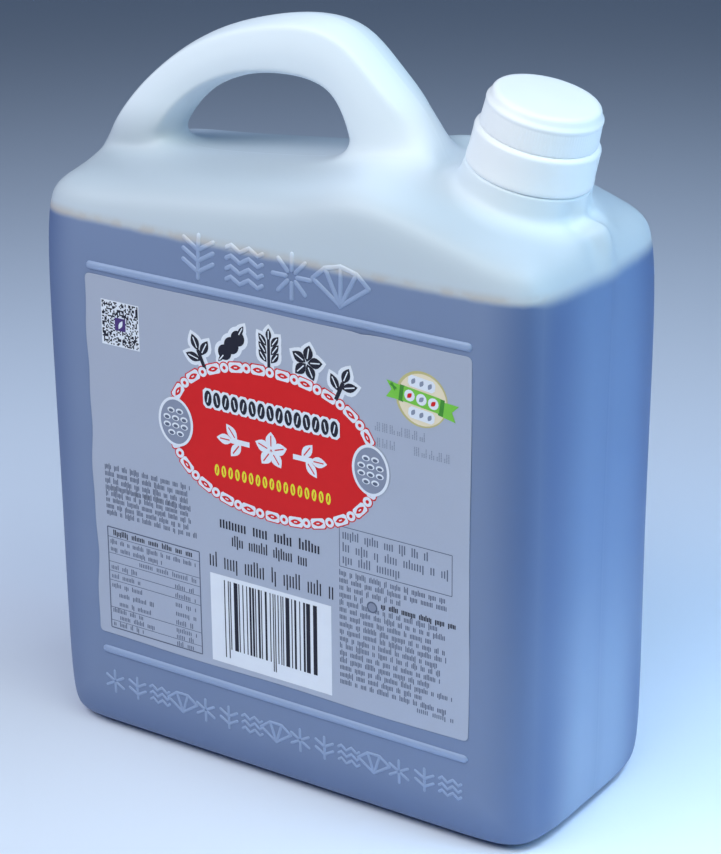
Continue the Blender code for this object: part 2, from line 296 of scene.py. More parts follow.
def press_ridge(bm):
    """Raises the middle of the ridge under the neck and presses in its flanks."""
    foot, low, high, head = RIDGE_Z
    for vert in bm.verts:
        x, y, z = vert.co
        if x < RIDGE_FROM_X or not foot < z < head:
            continue
        reach = step_up(z, foot, low) * (1 - step_up(z, high, head))
        rise = RIDGE_RISE * math.exp(-((y / RIDGE_HALF) ** 2))
        press = FLANK_DEPTH * math.exp(-(((abs(y) - FLANK_Y) / FLANK_HALF) ** 2))
        vert.co += vert.normal * (rise - press) * reach
    bm.normal_update()


def raise_seam(bm):
    """The fine line that the mould's halves leave all round the bottle at y = 0."""
    level = MM / 1000
    seam = []
    for edge in bm.edges:
        if all(abs(v.co.y) < level and v.co.z > SEAM_FROM_Z for v in edge.verts):
            seam.append(edge)
    bmesh.ops.bevel(bm, geom=seam, offset=SEAM_HALF, segments=2, profile=0.5, affect="EDGES")
    bm.normal_update()
    for vert in bm.verts:
        if abs(vert.co.y) < level and vert.co.z > SEAM_FROM_Z:
            vert.co += vert.normal * SEAM_HEIGHT
    bm.normal_update()


def make_piece(name, bm, finish, sharp=40):
    """A piece of the object from its mesh, riding on the body, with edges kept sharp above this angle."""
    piece = put_mesh(name, bm)
    piece.data.set_sharp_from_angle(angle=math.radians(sharp))
    piece.data.materials.append(finish)
    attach(piece, "root")
    return piece


def add_node(tree, kind, inputs=None, **settings):
    """A node with its settings, and with inputs set to values or joined to other nodes' outputs."""
    node = tree.nodes.new(kind)
    for name, value in settings.items():
        setattr(node, name, value)
    for socket, value in (inputs or {}).items():
        if isinstance(value, bpy.types.NodeSocket):
            tree.links.new(value, node.inputs[socket])
        else:
            node.inputs[socket].default_value = value
    return node


def join(tree, node, values):
    """Joins outputs of other nodes to a node's inputs, by their names."""
    for label, value in values.items():
        tree.links.new(value, node.inputs[label])


def new_group(name, inputs, outputs):
    """An empty effect with inputs (name, kind, value) and outputs (name, kind), and its two end nodes."""
    group = bpy.data.node_groups.new(name, "ShaderNodeTree")
    for label, kind, value in inputs:
        socket = group.interface.new_socket(label, in_out="INPUT", socket_type="NodeSocket" + kind)
        socket.default_value = value
    for label, kind in outputs:
        group.interface.new_socket(label, in_out="OUTPUT", socket_type="NodeSocket" + kind)
    return group, add_node(group, "NodeGroupInput").outputs, add_node(group, "NodeGroupOutput")


def place_group(tree, group, inputs):
    """The outputs of an effect placed in a material, with its own values."""
    return add_node(tree, "ShaderNodeGroup", inputs, node_tree=group).outputs


def new_finish(name):
    """A new material: itself, its node tree and its Principled shader."""
    finish = bpy.data.materials.new(name)
    finish.use_nodes = True
    return finish, finish.node_tree, finish.node_tree.nodes["Principled BSDF"]


def maths(tree, operation, first, second=0.0, third=0.0):
    """The result of one sum, from outputs of other nodes or plain numbers."""
    inputs = {0: first, 1: second, 2: third}
    return add_node(tree, "ShaderNodeMath", inputs, operation=operation).outputs[0]


def times(tree, first, second):
    return maths(tree, "MULTIPLY", first, second)


def larger(tree, first, second):
    return maths(tree, "MAXIMUM", first, second)


def fade(tree, value, start, end, first=0.0, last=1.0):
    """A value that goes smoothly from first to last as another one goes from start to end."""
    inputs = {"Value": value, "From Min": start, "From Max": end, "To Min": first, "To Max": last}
    return add_node(tree, "ShaderNodeMapRange", inputs, interpolation_type="SMOOTHSTEP").outputs["Result"]


def noise(tree, scale, detail):
    """Soft noise from 0 to 1 over the object's own coordinates."""
    where = add_node(tree, "ShaderNodeTexCoord").outputs["Object"]
    inputs = {"Vector": where, "Scale": scale, "Detail": detail}
    return add_node(tree, "ShaderNodeTexNoise", inputs).outputs["Fac"]


def add_bump(tree, height, strength, depth):
    """The way out of a surface that a height makes uneven."""
    inputs = {"Height": height, "Strength": strength, "Distance": depth}
    return add_node(tree, "ShaderNodeBump", inputs).outputs["Normal"]


def tint(tree, share, first, second):
    """A colour that goes from first to second by a share."""
    ends = [(*colour, 1.0) if isinstance(colour, tuple) else colour for colour in (first, second)]
    inputs = {0: share, 6: ends[0], 7: ends[1]}
    return add_node(tree, "ShaderNodeMix", inputs, data_type="RGBA").outputs[2]


# The skin of moulded polythene: a broad waviness under a fine grain, as a height for a bump and as a change
# of gloss. The bottle, its raised lines, the cap and the tamper band share it.
GRAIN_SHARE = 0.06
GLOSS_SWING = 0.12
moulded_skin, skin_in, skin_out = new_group(
    "moulded_skin",
    [("Waves", "Float", 45.0), ("Grain", "Float", 1800.0), ("Gloss", "Float", 0.35)],
    [("Height", "Float"), ("Roughness", "Float"), ("Mottle", "Float")],
)
waviness = noise(moulded_skin, skin_in["Waves"], 2.0)
grain = noise(moulded_skin, skin_in["Grain"], 1.0)
height = maths(moulded_skin, "MULTIPLY_ADD", grain, GRAIN_SHARE, waviness)
gloss = maths(moulded_skin, "MULTIPLY_ADD", waviness, GLOSS_SWING, skin_in["Gloss"])
join(moulded_skin, skin_out, {"Height": height, "Roughness": gloss, "Mottle": waviness})


def moulded(name, gloss, waves, grain, strength, depth):
    """A finish with the moulded skin's gloss and bump, its colour still to come, and the skin's mottle."""
    finish, tree, shader = new_finish(name)
    skin = place_group(tree, moulded_skin, {"Waves": waves, "Grain": grain, "Gloss": gloss})
    relief = add_bump(tree, skin["Height"], strength, depth)
    join(tree, shader, {"Roughness": skin["Roughness"], "Normal": relief})
    return finish, tree, shader, skin["Mottle"]


# What shows through the bottle's wall: the dark contents up to their level, a thin brown film where they
# have lapped above it, and the thick wall of handle and neck. It also gives masks of painted light and
# shade:
# painted shade in the upright corners, along the foot of the front and back and over the ends, painted
# shading on the middle of each end, and a painted bounce of light from the floor that fades out upwards.
LEVEL = 157.2 * MM
LEVEL_SOFT = 1.1 * MM
LAP_SCALE = 160.0
LAP_SWING = 0.8 * MM
LAPPED = (0.38, 0.62, 0.35, 1.0)
FILM_RISE = 0.3 * MM
FILM_FALL = (0.4 * MM, 3.2 * MM)

# The two places between which each of them goes from 0 to 1, or from one given share to another
CORNER_SHADE_X = (64 * MM, 80 * MM)
CORNER_SHADE_Y = (20 * MM, 35 * MM)
END_X = (76 * MM, 81.5 * MM)
PAINTED_END_SHADING_Y = (8 * MM, 28 * MM, 1.0, 0.0)
SEAM_Y = (0.5 * MM, 5 * MM, 0.88, 1.0)
BASE_SHADE_Z = (4 * MM, 18 * MM, 0.9, 0.0)
PAINTED_BOUNCE_Z = (8 * MM, 100 * MM, 1.0, 0.0)
HANDLE_Z = (171 * MM, 186 * MM)
ROUND_NECK = (17 * MM, 27 * MM, 0.7, 0.0)

# On the right end the level is seen more softly, and there is little film above it
RIGHT_END_X = (77 * MM, 82 * MM)
RIGHT_SOFTER = (*RIGHT_END_X, 1.0, 2.4)
RIGHT_FILM = (*RIGHT_END_X, 1.0, 0.2)

show_through, through_in, through_out = new_group(
    "show_through",
    [("Level", "Float", LEVEL), ("Softness", "Float", LEVEL_SOFT)],
    [(label, "Float") for label in ("Filled", "Film", "PaintedShade", "Thick", "End", "PaintedBounce")],
)
tree = show_through
where = add_node(tree, "ShaderNodeTexCoord").outputs["Object"]
apart = add_node(tree, "ShaderNodeSeparateXYZ", {"Vector": where}).outputs
across_x = maths(tree, "ABSOLUTE", apart["X"])
across_y = maths(tree, "ABSOLUTE", apart["Y"])
lap = noise(tree, LAP_SCALE, 3.0)
wavy_z = maths(tree, "ADD", apart["Z"], maths(tree, "MULTIPLY_ADD", lap, LAP_SWING, -LAP_SWING / 2))
over = maths(tree, "SUBTRACT", wavy_z, through_in["Level"])
softly = times(tree, through_in["Softness"], fade(tree, apart["X"], *RIGHT_SOFTER))
under = times(tree, softly, -1.0)
filled = fade(tree, over, under, softly, 1.0, 0.0)
patches = times(tree, fade(tree, lap, *LAPPED), fade(tree, apart["X"], *RIGHT_FILM))
film = times(tree, fade(tree, over, under, FILM_RISE), fade(tree, over, *FILM_FALL, 1.0, 0.0))
end = fade(tree, across_x, *END_X)
# Painted shade: darker along the foot of the front and back, in the upright corners and over the ends
base_shade = times(tree, fade(tree, apart["Z"], *BASE_SHADE_Z), maths(tree, "SUBTRACT", 1.0, end))
corner = times(tree, fade(tree, across_x, *CORNER_SHADE_X), fade(tree, across_y, *CORNER_SHADE_Y))
between = {0: where, 1: (NECK_X, 0.0, NECK_Z)}
from_neck = add_node(tree, "ShaderNodeVectorMath", between, operation="DISTANCE").outputs["Value"]
thick = larger(tree, fade(tree, apart["Z"], *HANDLE_Z), fade(tree, from_neck, *ROUND_NECK))
# The mask of painted end shading: the middle of each end, gone at its corners and a little less beside the
# seam
middle = times(tree, fade(tree, across_y, *PAINTED_END_SHADING_Y), fade(tree, across_y, *SEAM_Y))
join(tree, through_out, {"Filled": filled, "Film": times(tree, film, patches), "Thick": thick})
join(tree, through_out, {"PaintedShade": larger(tree, larger(tree, corner, base_shade), end)})
# The painted bounce of light from the floor: strongest at the foot and gone 100 mm up
join(tree, through_out, {"End": times(tree, end, middle), "PaintedBounce": fade(tree, apart["Z"], *PAINTED_BOUNCE_Z)})

FILM_SHARE = 0.55
FILM_COLOUR = (0.46, 0.37, 0.30)
BOTTLE_SKIN = {"waves": 45.0, "grain": 1800.0, "strength": 0.25, "depth": 0.4 * MM}
PAINTED_BOUNCE_IN_CORNER = 0.3
PAINTED_BOUNCE_IN_CORNER_MOST = 0.17
MOTTLE_SHARE = 0.12


def polythene(name, gloss, filled_colour, painted_shade_and_mottle_colour, painted_end_shade_colour, painted_bounce_colour, empty_colour, thick_colour):
    """Milky polythene over whatever stands behind it, with painted shade in its corners, along its base and
    on its ends, and a painted bounce of light from the floor low down.
    """
    finish, tree, shader, mottle = moulded(name, gloss, **BOTTLE_SKIN)
    through = place_group(tree, show_through, {"Level": LEVEL, "Softness": LEVEL_SOFT})
    above = tint(tree, through["Thick"], empty_colour, thick_colour)
    above = tint(tree, times(tree, through["Film"], FILM_SHARE), above, FILM_COLOUR)
    # The painted shade in the corners gets a share of the painted bounce low down
    corner_bounce = maths(tree, "MINIMUM", times(tree, through["PaintedBounce"], PAINTED_BOUNCE_IN_CORNER), PAINTED_BOUNCE_IN_CORNER_MOST)
    # Painted shade in the upright corners, along the base and over the ends
    below = tint(tree, through["PaintedShade"], filled_colour, tint(tree, corner_bounce, painted_shade_and_mottle_colour, painted_bounce_colour))
    # On the middle of each end: painted shade high up, going into the painted bounce from the floor low
    # down
    below = tint(tree, through["End"], below, tint(tree, through["PaintedBounce"], painted_end_shade_colour, painted_bounce_colour))
    # Random mottle, towards the same colour as the painted shade
    below = tint(tree, times(tree, mottle, MOTTLE_SHARE), below, painted_shade_and_mottle_colour)
    join(tree, shader, {"Base Color": tint(tree, through["Filled"], above, below)})
    shader.inputs["IOR"].default_value = 1.5
    return finish


milky_wall = polythene(
    "milky_wall",
    gloss=0.42,
    filled_colour=(0.185, 0.243, 0.395),
    painted_shade_and_mottle_colour=(0.082, 0.135, 0.295),
    painted_end_shade_colour=(0.140, 0.222, 0.415),
    painted_bounce_colour=(0.300, 0.385, 0.545),
    empty_colour=(0.52, 0.59, 0.66),
    thick_colour=(0.81, 0.89, 0.96),
)
shell = smoothed(bottle_cage(), BOTTLE_SMOOTHING)
press_ridge(shell)
wall = BVHTree.FromBMesh(shell)
raise_seam(shell)
bottle = make_piece("blown_bottle", shell, milky_wall)
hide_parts("bottle")

# The raised lines and ornaments: low rounded beads that the mould presses out of the wall, a line above
# and below each label panel and two rows of plain ornaments on the front. They are thicker than the wall
# round them, so they look paler.
LINE_X = (-60.9 * MM, 63.1 * MM)
LINE_HEIGHTS = (27.4 * MM, 144.8 * MM)
LINE_HALF = 1.2 * MM
LINE_RISE = 0.62 * MM
BEAD_SIDES = 10
BEAD_STEP = 3.0 * MM
BEAD_TIP = [math.radians(degrees) for degrees in (35, 62, 82)]
OUTSIDE = 200 * MM
LARGE_MARKS = [-22.5 * MM, -7.3 * MM, 8.0 * MM, 23.4 * MM]
LARGE_Z = 153.6 * MM
LARGE_SIZE = 11.6 * MM
LARGE_BEAD = (0.68 * MM, 0.30 * MM)
SMALL_MARKS = [(-57.2 + 8.2 * k) * MM for k in range(15)]
SMALL_Z = 17.2 * MM
SMALL_SIZE = 6.8 * MM
SMALL_BEAD = (0.46 * MM, 0.22 * MM)


def even_turns(count):
    """Turns that are even round a circle, in radians."""
    return [2 * math.pi * k / count for k in range(count)]


def wall_point(x, z, side=-1):
    """The point of the front wall, or of the back one with side 1, and the way out of it there."""
    return wall.ray_cast(Vector((x, side * OUTSIDE, z)), Vector((0, -side, 0)))[:2]


def bead(bm, path, half, rise):
    """A low rounded bead along a path of (point, way out) on the wall, with round ends."""
    points = [point for point, out in path]
    stations = []
    for k, (point, out) in enumerate(path):
        ahead = (points[min(k + 1, len(points) - 1)] - points[max(k - 1, 0)]).normalized()
        stations.append((point, out, ahead, 1.0))
    for end, sign in ((0, -1), (-1, 1)):
        point, out, ahead = stations[end][:3]
        for turn in BEAD_TIP:
            place = point + ahead * sign * half * math.sin(turn)
            stations.insert(0 if sign < 0 else len(stations), (place, out, ahead, math.cos(turn)))
    rings = []
    for point, out, ahead, size in stations:
        across = ahead.cross(out).normalized()
        sides = [(half * math.cos(t) * size, rise * math.sin(t) * size) for t in even_turns(BEAD_SIDES)]
        rings.append(ring(bm, [point + across * a + out * b for a, b in sides]))
    bridge(bm, rings)
    bm.faces.new(rings[0])
    bm.faces.new(rings[-1])


def front_path(points, side=-1):
    """A path on the wall through points (x, z), with more points along it so that it follows the wall."""
    path = []
    for (x0, z0), (x1, z1) in zip(points, points[1:]):
        steps = max(1, math.ceil(math.hypot(x1 - x0, z1 - z0) / BEAD_STEP))
        for k in range(steps):
            path.append(wall_point(x0 + (x1 - x0) * k / steps, z0 + (z1 - z0) * k / steps, side))
    return path + [wall_point(*points[-1], side)]


# An ornament is a list of strokes, each a path of (x, z) in a square of side 1 about its middle
WAVE_STEPS = 8
LEAF_STROKE = (0.42, 0.24)
FAN_FOOT = -0.45
FAN_RADIUS = 0.92
FAN_FROM = 35
FAN_TURN = 110


def spokes(inner, outer, count, first=0):
    """Straight strokes out from the middle, evenly round it."""
    turns = [math.radians(first + 360 * k / count) for k in range(count)]
    return [[(r * math.cos(t), r * math.sin(t)) for r in (inner, outer)] for t in turns]


def waves(heights, swing):
    """Wavy strokes across, one above the other."""
    places = [(k / WAVE_STEPS - 0.5, swing * math.sin(k * math.pi / 2)) for k in range(WAVE_STEPS + 1)]
    return [[(x, height + z) for x, z in places] for height in heights]


def leaf_pairs(heights):
    """A stem with pairs of leaves, each a stroke that leans up and out."""
    out, up = LEAF_STROKE
    pairs = [[(0, height), (side * out, height + up)] for height in heights for side in (-1, 1)]
    return [[(0, -0.5), (0, 0.5)]] + pairs


def fan(count):
    """Ribs that spread from a foot up to a rim."""
    turns = [math.radians(FAN_FROM + FAN_TURN * k / (count - 1)) for k in range(count)]
    rim = [(FAN_RADIUS * math.cos(t), FAN_RADIUS * math.sin(t) + FAN_FOOT) for t in turns]
    return [[(0, FAN_FOOT), tip] for tip in rim] + [rim]


LARGE_SHAPES = [leaf_pairs((-0.36, -0.1, 0.16)), waves((-0.38, -0.13, 0.12, 0.37), 0.07)]
LARGE_SHAPES += [spokes(0.16, 0.52, 8), fan(5)]
SMALL_SHAPES = [spokes(0.12, 0.5, 6, 30), leaf_pairs((-0.3, 0.06)), waves((-0.3, 0.0, 0.3), 0.1), fan(4)]


def raise_mark(bm, shape, x, z, size, half, rise):
    """One ornament: the strokes of a shape as low beads on the wall round (x, z)."""
    for stroke in shape:
        bead(bm, front_path([(x + a * size, z + b * size) for a, b in stroke]), half, rise)


thick_wall = polythene(
    "thick_wall",
    gloss=0.38,
    filled_colour=(0.29, 0.37, 0.56),
    painted_shade_and_mottle_colour=(0.24, 0.32, 0.50),
    painted_end_shade_colour=(0.29, 0.37, 0.56),
    painted_bounce_colour=(0.33, 0.41, 0.60),
    empty_colour=(0.64, 0.72, 0.84),
    thick_colour=(0.74, 0.83, 0.93),
)
lines = bmesh.new()
for side in (-1, 1):
    for height_at in LINE_HEIGHTS:
        ends = [(LINE_X[0] + LINE_HALF, height_at), (LINE_X[1] - LINE_HALF, height_at)]
        bead(lines, front_path(ends, side), LINE_HALF, LINE_RISE)
bmesh.ops.recalc_face_normals(lines, faces=lines.faces)
raised_lines = make_piece("raised_lines", lines, thick_wall)

marks = bmesh.new()
for x, shape in zip(LARGE_MARKS, LARGE_SHAPES):
    raise_mark(marks, shape, x, LARGE_Z, LARGE_SIZE, *LARGE_BEAD)
for k, x in enumerate(SMALL_MARKS):
    raise_mark(marks, SMALL_SHAPES[k % len(SMALL_SHAPES)], x, SMALL_Z, SMALL_SIZE, *SMALL_BEAD)
bmesh.ops.recalc_face_normals(marks, faces=marks.faces)
raised_marks = make_piece("raised_marks", marks, thick_wall)

# The soy sauce: a thin dark brown liquid, filled in through the neck up to the level that shows through
# the wall. The solid from the CAD stays as it is and gets this finish.
sauce_dark, tree, shader = new_finish("sauce_dark")
swirl = add_node(tree, "ShaderNodeTexNoise", {"Scale": 30.0, "Detail": 3.0}).outputs["Fac"]
brown = tint(tree, swirl, (0.016, 0.006, 0.003), (0.030, 0.011, 0.005))
join(tree, shader, {"Base Color": brown, "Roughness": fade(tree, swirl, 0.3, 0.7, 0.06, 0.12)})
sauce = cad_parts["soy_sauce"]
sauce.data.materials.clear()
sauce.data.materials.append(sauce_dark)

# The tamper band: a ring of white polythene that stays on the neck when the cap is first turned. A rounded
# ledge runs round its top, its skirt is plain, and a bead runs round its foot.
BAND_SIDES = 128
BAND_OUTLINE = [
    (11.96, 15.1),
    (11.93, 15.6),
    (11.75, 16.0),
    (11.50, 16.35),
    (11.15, 16.60),
    (10.75, 16.70),
    (10.2, 16.68),
    (8.0, 16.70),
    (5.6, 16.75),
    (3.9, 16.82),
    (3.4, 16.88),
    (3.0, 16.96),
    (2.2, 16.98),
    (1.7, 16.94),
    (1.45, 16.80),
    (1.4, 16.5),
    (1.4, 15.0),
    (11.95, 14.9),
]
WHITE_SKIN = {"waves": 90.0, "grain": 2500.0, "strength": 0.15, "depth": 0.2 * MM}


def turned(outline, sides, grip=None):
    """A ring turned about the neck's axis from its outline in millimetres, less grip(along, turn)."""
    bm = bmesh.new()
    rings = []
    for along, radius in outline:
        if not radius:
            rings.append([bm.verts.new(neck_point(along * MM, 0, 0))])
            continue
        points = []
        for turn in even_turns(sides):
            cut = grip(along, turn) if grip else 0.0
            points.append(neck_point(along * MM, (radius - cut) * MM, turn))
        rings.append(ring(bm, points))
    if outline[0][1]:
        rings.append(rings[0])
    for lower, upper in zip(rings, rings[1:]):
        if len(lower) == len(upper):
            bridge(bm, [lower, upper])
        else:
            tip, edge = sorted((lower, upper), key=len)
            for k in range(sides):
                bm.faces.new((tip[0], edge[k], edge[(k + 1) % sides]))
    bmesh.ops.recalc_face_normals(bm, faces=bm.faces)
    return bm


white_plastic, tree, shader, mottle = moulded("white_plastic", 0.36, **WHITE_SKIN)
join(tree, shader, {"Base Color": tint(tree, mottle, (0.88, 0.92, 0.98), (0.92, 0.95, 0.99))})
shader.inputs["Subsurface Weight"].default_value = 0.2
shader.inputs["Subsurface Radius"].default_value = (1.0, 1.0, 1.0)
shader.inputs["Subsurface Scale"].default_value = 2.0 * MM
band = make_piece("band_ring", turned(BAND_OUTLINE, BAND_SIDES), white_plastic, sharp=50)
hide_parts("tamper_band")

# The cap: white polythene, moulded and screwed down. Its top is slightly domed with a soft edge, a bead
# runs round under it, and fine grips run down its side to the small bridges that join it to the band until
# it is first opened.
GRIPS = 120
GRIP_DEPTH = 0.07
GRIP_FROM = 12.6
GRIP_TO = 17.7
GRIP_EASE = 0.3
CAP_SIDES = GRIPS * 4
CAP_OUTLINE = [
    (22.38, 0),
    (22.36, 5.0),
    (22.28, 9.5),
    (22.18, 12.4),
    (22.08, 13.3),
    (21.85, 13.85),
    (21.5, 14.2),
    (21.0, 14.42),
    (20.3, 14.62),
    (19.8, 14.85),
    (19.5, 15.15),
    (19.2, 15.38),
    (18.8, 15.45),
    (18.45, 15.40),
    (18.2, 15.30),
    (17.9, 15.30),
    (17.6, 15.36),
    (15.2, 15.46),
    (12.8, 15.58),
    (12.5, 15.56),
    (12.1, 15.45),
    (12.0, 14.5),
    (18.2, 14.4),
    (18.2, 0),
]
BRIDGES = 16
BRIDGE_TOP = 12.35
BRIDGE_FOOT = 11.7
BRIDGE_RADIUS = (14.9, 15.5)
BRIDGE_TURN = math.radians(1.3)


def grip_cut(along, turn):
    """How much the fine grips take off the cap's side, in millimetres."""
    past_foot = step_up(along, GRIP_FROM - GRIP_EASE, GRIP_FROM)
    past_top = step_up(along, GRIP_TO, GRIP_TO + GRIP_EASE)
    return past_foot * (1 - past_top) * GRIP_DEPTH * (0.5 + 0.5 * math.cos(GRIPS * turn))


cap_mesh = turned(CAP_OUTLINE, CAP_SIDES, grip_cut)
for middle in even_turns(BRIDGES):
    corners = []
    for along in (BRIDGE_FOOT, BRIDGE_TOP):
        for side in (-1, 1):
            turn = middle + side * BRIDGE_TURN
            corners += [neck_point(along * MM, radius * MM, turn) for radius in BRIDGE_RADIUS]
    bmesh.ops.convex_hull(cap_mesh, input=ring(cap_mesh, corners))
cap = make_piece("cap_top", cap_mesh, white_plastic, sharp=50)
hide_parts("cap")

# The label: a sheet of silver film, stuck to the front wall a little unevenly, so that its edges wander and
# it stands off in small pleats at the top and at the right edge. Its print lies on it in thin layers.
LABEL_LEFT = -61.2
LABEL_RIGHT = 63.4
LABEL_FOOT = 32.6
LABEL_TOP = 142.5
LABEL_CORNER = 1.5
LABEL_PROUD = 0.14
FILM_THICK = 0.12
EDGE_ROWS = (0.0, 0.12, 0.4, 0.85, 1.5)
CELL = 2.6

# The glue under the film, how much the left edge lifts and how far in, and the pleats, each (x, z, half
# width, half height, rise)
GLUE = 0.05
LEFT_LIFT = 0.12
LEFT_LIFT_REACH = 3.0
PLEATS = [(30.0, 142.5, 3.4, 4.2, 0.26), (-19.0, 142.5, 5.0, 3.2, 0.16), (63.4, 66.0, 3.0, 5.0, 0.18)]

# How far each edge wanders, how far in from top and foot that is felt, and a dip of the top at its pleat
LEFT_SWING = 0.28
LEFT_SHORT_SWING = 0.18
RIGHT_SWING = 0.15
TOP_SWING = 0.12
TOP_REACH = 12
FOOT_SWING = 0.22
FOOT_REACH = 9
DIP_X = 30.0
DIP_HALF = 2.2
DIP_DEPTH = 0.3


def ripple(x, z):
    """How far the film stands off the wall at (x, z) in millimetres."""
    off = GLUE + GLUE * math.sin(x / 9.0 + 1.0) * math.sin(z / 13.0)
    for at_x, at_z, wide, tall, rise in PLEATS:
        off += rise * math.exp(-(((x - at_x) / wide) ** 2) - (((z - at_z) / tall) ** 2))
    near_left = math.exp(-max(x - LABEL_LEFT, 0.0) / LEFT_LIFT_REACH)
    return off + LEFT_LIFT * near_left * (1 + math.sin(z / 5.5))


def on_label(x, z, lift=0.0):
    """The point on the label's face at (x, z) in millimetres, or a lift in front of it."""
    place, out = wall_point(x * MM, z * MM)
    return place + Vector((0, -(LABEL_PROUD + ripple(x, z) + lift) * MM, 0))


def steps_across(low, high):
    """Places from low to high with close rows at both ends, where the corners round."""
    inner_low = low + LABEL_CORNER
    inner_high = high - LABEL_CORNER
    count = round((inner_high - inner_low) / CELL)
    inner = [inner_low + (inner_high - inner_low) * k / count for k in range(1, count)]
    return [low + e for e in EDGE_ROWS] + inner + [high - e for e in EDGE_ROWS[::-1]]


def rounding(distance):
    """How far a rounded corner takes the edge in, at this distance from the next edge."""
    if distance >= LABEL_CORNER:
        return 0.0
    return LABEL_CORNER - math.sqrt(LABEL_CORNER**2 - (LABEL_CORNER - distance) ** 2)


def label_sheet():
    bm = bmesh.new()
    rows = []
    for z in steps_across(LABEL_FOOT, LABEL_TOP):
        end_in = rounding(min(z - LABEL_FOOT, LABEL_TOP - z))
        wander = LEFT_SWING * math.sin(z / 7.5) + LEFT_SHORT_SWING * math.sin(z / 3.1 + 2.0)
        left = LABEL_LEFT + end_in + wander
        right = LABEL_RIGHT - end_in - RIGHT_SWING * (1 + math.sin(z / 11.0))
        near_top = step_up(z, LABEL_TOP - TOP_REACH, LABEL_TOP)
        near_foot = 1 - step_up(z, LABEL_FOOT, LABEL_FOOT + FOOT_REACH)
        row = []
        for flat_x in steps_across(LABEL_LEFT, LABEL_RIGHT):
            x = left + (right - left) * (flat_x - LABEL_LEFT) / (LABEL_RIGHT - LABEL_LEFT)
            dip = DIP_DEPTH * math.exp(-(((x - DIP_X) / DIP_HALF) ** 2))
            down = near_top * (dip + TOP_SWING * (1 + math.sin(x / 8.0)))
            up = near_foot * FOOT_SWING * (1 + math.sin(x / 10.0 + 1.2))
            row.append(bm.verts.new(on_label(x, z - down + up)))
        rows.append(row)
    for lower, upper in zip(rows, rows[1:]):
        for k in range(len(lower) - 1):
            bm.faces.new((lower[k], lower[k + 1], upper[k + 1], upper[k]))
    return bm


silver_film, tree, shader = new_finish("silver_film")
fleck = noise(tree, 2600.0, 1.0)
silver = tint(tree, noise(tree, 28.0, 3.0), (0.415, 0.450, 0.555), (0.465, 0.500, 0.605))
sheen = fade(tree, fleck, 0.35, 0.65, 0.42, 0.52)
relief = add_bump(tree, fleck, 0.12, 0.05 * MM)
join(tree, shader, {"Base Color": silver, "Roughness": sheen, "Normal": relief})
shader.inputs["Metallic"].default_value = 0.25
sheet = make_piece("label_sheet", label_sheet(), silver_film)
film_depth = sheet.modifiers.new("Film", "SOLIDIFY")
film_depth.thickness = FILM_THICK * MM
film_depth.offset = -1
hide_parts("label")

# The print on the label: thin flat layers of ink, one piece for each colour, in a design of plain ornaments
# and rows of short strokes. A shape is an outline of (x, z) in millimetres, and each layer of ink lies a
# little in front of the one it covers.
LAYER = 0.03
INK_STEP = 6.0
INK_SPECKS = 220.0
MID_GREY = (0.5, 0.5, 0.5, 1.0)

ink_mottle, ink_in, ink_out = new_group(
    "ink_mottle",
    [("Colour", "Color", MID_GREY), ("Worn", "Color", MID_GREY), ("Scale", "Float", INK_SPECKS)],
    [("Colour", "Color"), ("Roughness", "Float")],
)
speck = noise(ink_mottle, ink_in["Scale"], 3.0)
mixed = tint(ink_mottle, speck, ink_in["Colour"], ink_in["Worn"])
join(ink_mottle, ink_out, {"Colour": mixed, "Roughness": fade(ink_mottle, speck, 0.3, 0.7, 0.38, 0.46)})


def new_ink(name, colour, worn):
    """A printing ink: a colour that goes a little towards a worn one in specks."""
    finish, tree, shader = new_finish(name)
    values = {"Colour": (*colour, 1.0), "Worn": (*worn, 1.0), "Scale": INK_SPECKS}
    mottle = place_group(tree, ink_mottle, values)
    join(tree, shader, {"Base Color": mottle["Colour"], "Roughness": mottle["Roughness"]})
    shader.inputs["IOR"].default_value = 1.3
    return finish


INKS = {
    "red": ((0.66, 0.008, 0.010), (0.72, 0.014, 0.016)),
    "white": ((0.82, 0.85, 0.92), (0.76, 0.79, 0.88)),
    "black": ((0.012, 0.012, 0.026), (0.020, 0.020, 0.036)),
    "grey": ((0.10, 0.12, 0.19), (0.13, 0.15, 0.22)),
    "pale_grey": ((0.24, 0.27, 0.37), (0.27, 0.30, 0.40)),
    "yellow": ((0.80, 0.72, 0.02), (0.86, 0.80, 0.06)),
    "green": ((0.16, 0.52, 0.05), (0.24, 0.62, 0.08)),
    "dark_green": ((0.05, 0.24, 0.03), (0.07, 0.30, 0.04)),
    "cream": ((0.80, 0.68, 0.48), (0.86, 0.76, 0.58)),
    "gold": ((0.52, 0.46, 0.20), (0.60, 0.54, 0.26)),
    "purple": ((0.06, 0.03, 0.16), (0.08, 0.04, 0.20)),
}
plates = {name: bmesh.new() for name in INKS}


def placed(outline, x, z, degrees=0.0, size=1.0):
    """An outline turned, sized and moved to (x, z)."""
    turn = math.radians(degrees)
    c, s = math.cos(turn) * size, math.sin(turn) * size
    return [(x + a * c - b * s, z + a * s + b * c) for a, b in outline]


def ink(name, outline, x, z, layer, degrees=0.0, size=1.0):
    """One flat shape of ink on the label at (x, z), in its layer."""
    points = [on_label(*place, layer * LAYER) for place in placed(outline, x, z, degrees, size)]
    plates[name].faces.new(ring(plates[name], points))


def disc(half_x, half_z, sides=20):
    return [(half_x * math.cos(turn), half_z * math.sin(turn)) for turn in even_turns(sides)]


def block(width, tall, cut=0.0):
    """A rectangle about its middle, with a little cut off its corners or none."""
    w, h = width / 2, tall / 2
    if not cut:
        return [(-w, -h), (w, -h), (w, h), (-w, h)]
    lower = [(cut - w, -h), (w - cut, -h), (w, cut - h)]
    upper = [(w, h - cut), (w - cut, h), (cut - w, h)]
    return lower + upper + [(-w, h - cut), (-w, cut - h)]


